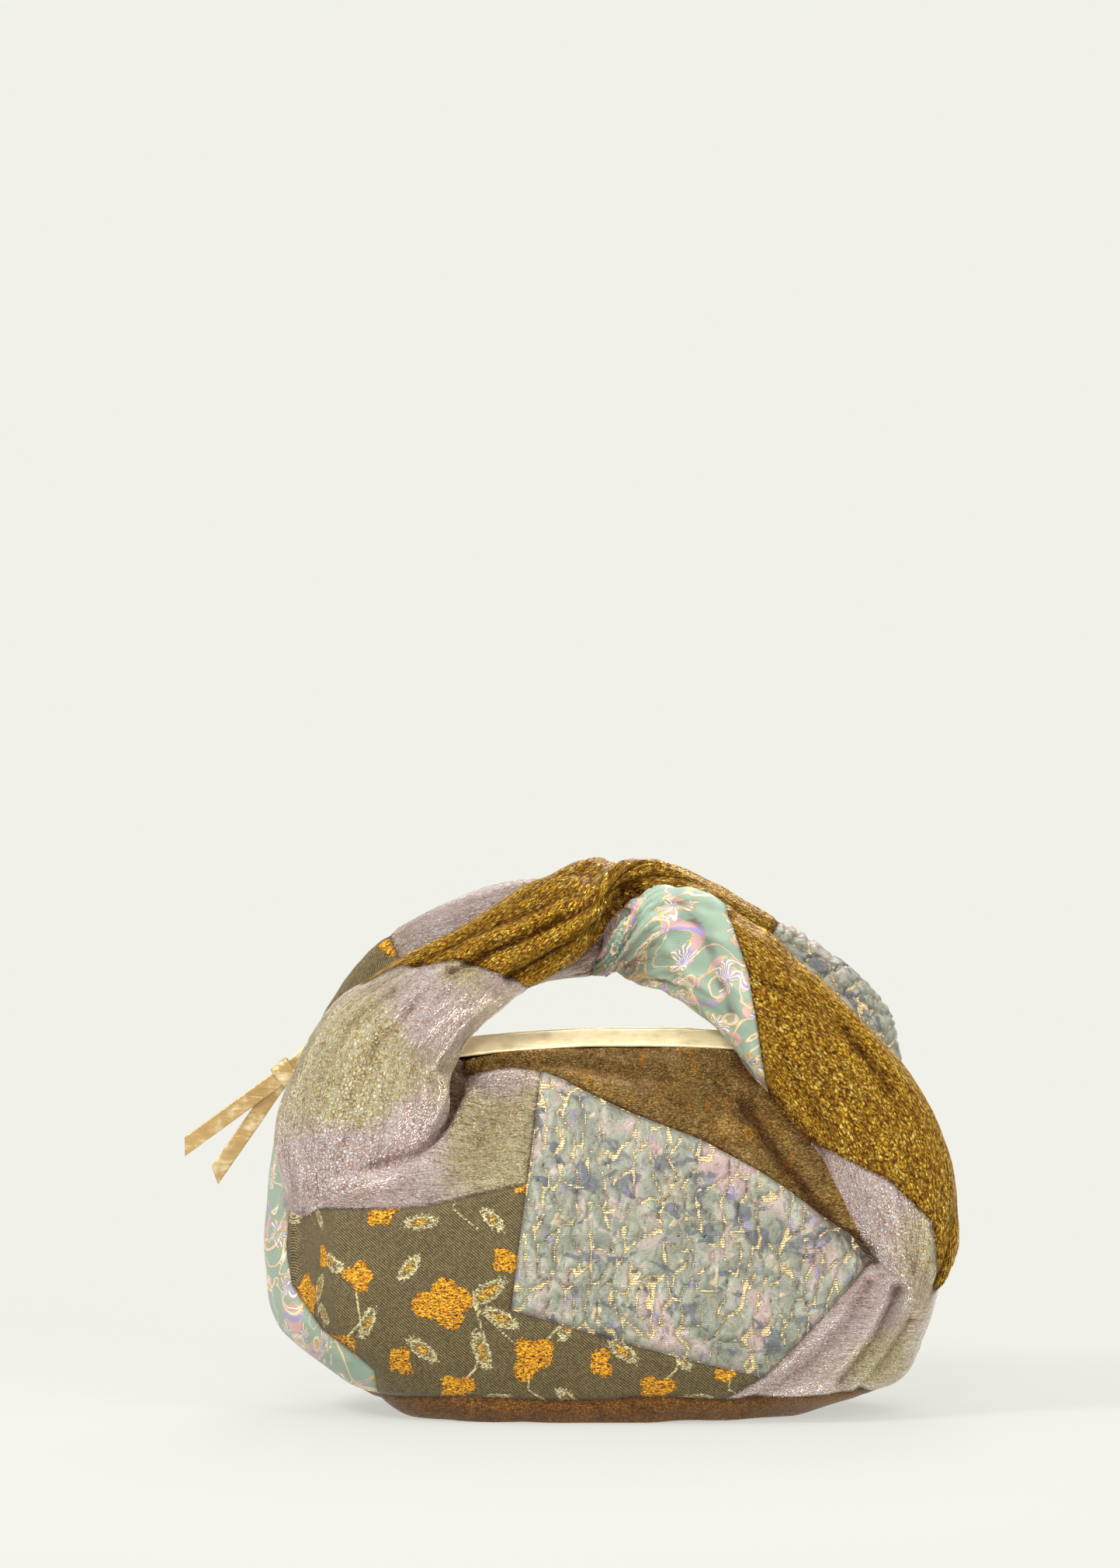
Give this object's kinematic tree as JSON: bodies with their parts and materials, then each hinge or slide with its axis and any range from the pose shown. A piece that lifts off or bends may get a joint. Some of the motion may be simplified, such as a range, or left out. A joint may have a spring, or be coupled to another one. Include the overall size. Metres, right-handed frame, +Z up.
{
  "type": "top handle bag",
  "caption": "Small soft patchwork bag with a zipped top under an arched handle of two padded straps that turn round each other.",
  "frame": {"origin": "centre of the flat base", "axes": "+Z up from the base to the handle, +X to the right along the zip, -Y out of the front"},
  "size_m": [0.308, 0.1126, 0.2199],
  "materials": {
    "brocade_fabric": "woven brocade with metallic thread",
    "lame_fabric": "crinkled metallic weave",
    "jacquard_fabric": "satin jacquard",
    "lining_fabric": "plain lining",
    "stiffener_board": "plain",
    "gold_leather": "smooth metallic",
    "gold_metal": "polished"
  },
  "bodies": {
    "bag": {"front_panel": "brocade_fabric", "back_panel": "lame_fabric", "left_gusset": "jacquard_fabric", "right_gusset": "jacquard_fabric", "base_panel": "lame_fabric", "base_board": "stiffener_board", "lining": "lining_fabric", "handle_strap_a": "lame_fabric", "handle_strap_b": "jacquard_fabric", "zip_facing_front": "gold_leather", "zip_facing_back": "gold_leather", "zip_row_front": "gold_metal", "zip_row_back": "gold_metal", "left_stop_front": "gold_metal", "left_stop_back": "gold_metal", "right_stop": "gold_metal", "end_tab_left": "gold_leather", "end_tab_right": "gold_leather"},
    "zip_slider": {"slider": "gold_metal"},
    "zip_pull": {"pull_ring": "gold_metal", "pull_strap": "gold_leather", "pull_keeper": "gold_leather"}
  },
  "joints": [
    {"name": "slider_travel", "type": "hinge", "parent": "bag", "child": "zip_slider", "pos_m": [0.0115, 0, -0.4], "axis": [0, 1, 0], "range_deg": [0, 20.8]},
    {"name": "pull_swing", "type": "hinge", "parent": "zip_slider", "child": "zip_pull", "pos_m": [-0.10646, 0, 0.14212], "axis": [0, 1, 0], "range_deg": [0, 25], "deforming": ["pull_strap", "pull_keeper"]}
  ],
  "couplings": [
    {"joint": "pull_swing", "follows": "slider_travel", "ratio": 1.2}
  ]
}
